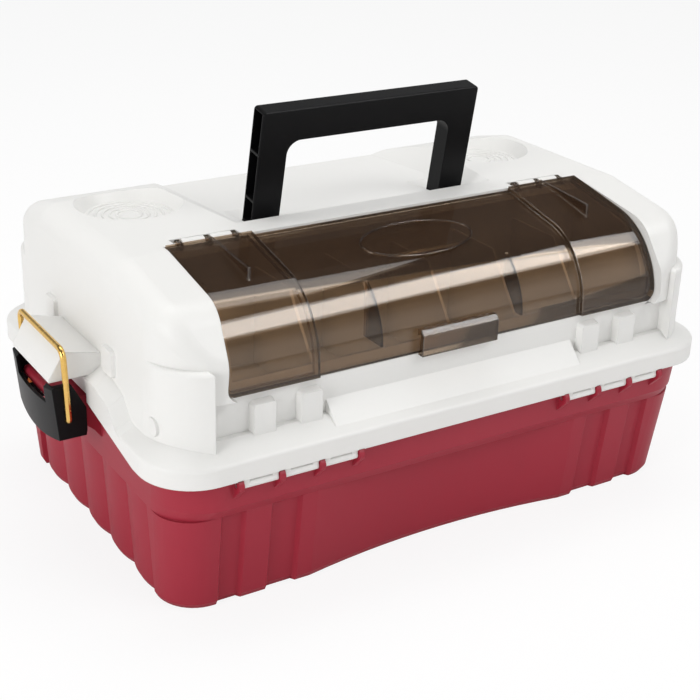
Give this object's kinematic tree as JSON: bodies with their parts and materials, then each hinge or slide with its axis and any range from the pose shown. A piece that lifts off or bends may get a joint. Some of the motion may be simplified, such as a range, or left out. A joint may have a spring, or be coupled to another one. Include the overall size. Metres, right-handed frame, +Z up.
{
  "type": "tackle box",
  "caption": "Hip-roof tackle box: lid with a lift-up window bin, stacked trays on linked arms, end draw latches and a carrying handle.",
  "frame": {"origin": "middle of the underside of the tub", "axes": "+X along the box to its right end, -Y to the hinge and window side, +Z up"},
  "size_m": [0.4832, 0.2973, 0.2834],
  "materials": {
    "pearl_white_plastic": "semi-gloss",
    "red_plastic": "satin",
    "smoky_window": "clear smoky",
    "black_plastic": "satin",
    "brass_wire": "drawn wire",
    "steel_pin": "bright",
    "arm_metal": "satin",
    "tray_plastic": "satin",
    "divider_plastic": "satin"
  },
  "bodies": {
    "tub": {"base_shell": "red_plastic", "lid_hinge_pin_left": "steel_pin", "lid_hinge_pin_right": "steel_pin", "left_latch_pin": "steel_pin", "right_latch_pin": "steel_pin"},
    "lid": {"lid_shell": "pearl_white_plastic", "bin_dividers": "divider_plastic", "window_hinge_pin_left": "steel_pin", "window_hinge_pin_right": "steel_pin", "handle_pin_left": "steel_pin", "handle_pin_right": "steel_pin"},
    "window": {"window_cover": "smoky_window"},
    "handle": {"carry_handle": "black_plastic"},
    "left_lever": {"left_latch_lever": "black_plastic"},
    "left_bail": {"left_latch_bail": "brass_wire"},
    "left_front_arm": {"left_front_arm": "arm_metal", "left_front_arm_rivets": "steel_pin"},
    "left_rear_arm": {"left_rear_arm": "arm_metal", "left_rear_arm_rivets": "steel_pin"},
    "left_link": {"left_lid_link": "arm_metal", "left_link_rivets": "steel_pin"},
    "right_lever": {"right_latch_lever": "black_plastic"},
    "right_bail": {"right_latch_bail": "brass_wire"},
    "right_front_arm": {"right_front_arm": "arm_metal", "right_front_arm_rivets": "steel_pin"},
    "right_rear_arm": {"right_rear_arm": "arm_metal", "right_rear_arm_rivets": "steel_pin"},
    "right_link": {"right_lid_link": "arm_metal", "right_link_rivets": "steel_pin"},
    "lower_tray": {"lower_tray": "tray_plastic", "lower_tray_dividers": "divider_plastic"},
    "middle_tray": {"middle_tray": "tray_plastic", "middle_tray_dividers": "divider_plastic"},
    "upper_tray": {"upper_tray": "tray_plastic", "upper_tray_dividers": "divider_plastic"}
  },
  "joints": [
    {"name": "lid_open", "type": "hinge", "parent": "tub", "child": "lid", "pos_m": [0, -0.1445, 0.094], "axis": [1, 0, 0], "range_deg": [0, 96]},
    {"name": "window_open", "type": "hinge", "parent": "lid", "child": "window", "pos_m": [0, -0.0365, 0.208], "axis": [1, 0, 0], "range_deg": [-90, 0]},
    {"name": "handle_fold", "type": "hinge", "parent": "lid", "child": "handle", "pos_m": [0, -0.0024, 0.198], "axis": [1, 0, 0], "range_deg": [-80, 0]},
    {"name": "left_latch_release", "type": "hinge", "parent": "tub", "child": "left_lever", "pos_m": [-0.231, 0, 0.112], "axis": [0, 1, 0], "range_deg": [0, 28]},
    {"name": "left_bail_swing", "type": "hinge", "parent": "left_lever", "child": "left_bail", "pos_m": [-0.23, 0, 0.1037], "axis": [0, -1, 0], "range_deg": [0, 192]},
    {"name": "left_front_arm_swing", "type": "hinge", "parent": "tub", "child": "left_front_arm", "pos_m": [-0.1885, 0.0026, 0.076], "axis": [1, 0, 0], "range_deg": [0, 96]},
    {"name": "left_rear_arm_swing", "type": "hinge", "parent": "tub", "child": "left_rear_arm", "pos_m": [-0.1885, 0.0216, 0.076], "axis": [1, 0, 0], "range_deg": [0, 96]},
    {"name": "left_link_turn", "type": "hinge", "parent": "left_front_arm", "child": "left_link", "pos_m": [-0.1915, 0.03827, 0.10812], "axis": [1, 0, 0], "range_deg": [-96, 0]},
    {"name": "right_latch_release", "type": "hinge", "parent": "tub", "child": "right_lever", "pos_m": [0.231, 0, 0.112], "axis": [0, -1, 0], "range_deg": [0, 28]},
    {"name": "right_bail_swing", "type": "hinge", "parent": "right_lever", "child": "right_bail", "pos_m": [0.23, 0, 0.1037], "axis": [0, 1, 0], "range_deg": [0, 192]},
    {"name": "right_front_arm_swing", "type": "hinge", "parent": "tub", "child": "right_front_arm", "pos_m": [0.1885, 0.0026, 0.076], "axis": [1, 0, 0], "range_deg": [0, 96]},
    {"name": "right_rear_arm_swing", "type": "hinge", "parent": "tub", "child": "right_rear_arm", "pos_m": [0.1885, 0.0216, 0.076], "axis": [1, 0, 0], "range_deg": [0, 96]},
    {"name": "right_link_turn", "type": "hinge", "parent": "right_front_arm", "child": "right_link", "pos_m": [0.1915, 0.03827, 0.10812], "axis": [1, 0, 0], "range_deg": [-96, 0]},
    {"name": "lower_tray_level", "type": "hinge", "parent": "left_front_arm", "child": "lower_tray", "pos_m": [-0.186, 0.01999, 0.09166], "axis": [1, 0, 0], "range_deg": [-96, 0]},
    {"name": "middle_tray_level", "type": "hinge", "parent": "left_front_arm", "child": "middle_tray", "pos_m": [-0.186, 0.05664, 0.12466], "axis": [1, 0, 0], "range_deg": [-96, 0]},
    {"name": "upper_tray_level", "type": "hinge", "parent": "left_front_arm", "child": "upper_tray", "pos_m": [-0.186, 0.09329, 0.15766], "axis": [1, 0, 0], "range_deg": [-96, 0]}
  ],
  "couplings": [
    {"joint": "left_bail_swing", "follows": "lid_open", "ratio": 2},
    {"joint": "left_front_arm_swing", "follows": "lid_open", "ratio": 1},
    {"joint": "left_rear_arm_swing", "follows": "lid_open", "ratio": 1},
    {"joint": "left_link_turn", "follows": "lid_open", "ratio": -1},
    {"joint": "right_bail_swing", "follows": "lid_open", "ratio": 2},
    {"joint": "right_front_arm_swing", "follows": "lid_open", "ratio": 1},
    {"joint": "right_rear_arm_swing", "follows": "lid_open", "ratio": 1},
    {"joint": "right_link_turn", "follows": "lid_open", "ratio": -1},
    {"joint": "lower_tray_level", "follows": "lid_open", "ratio": -1},
    {"joint": "middle_tray_level", "follows": "lid_open", "ratio": -1},
    {"joint": "upper_tray_level", "follows": "lid_open", "ratio": -1}
  ]
}
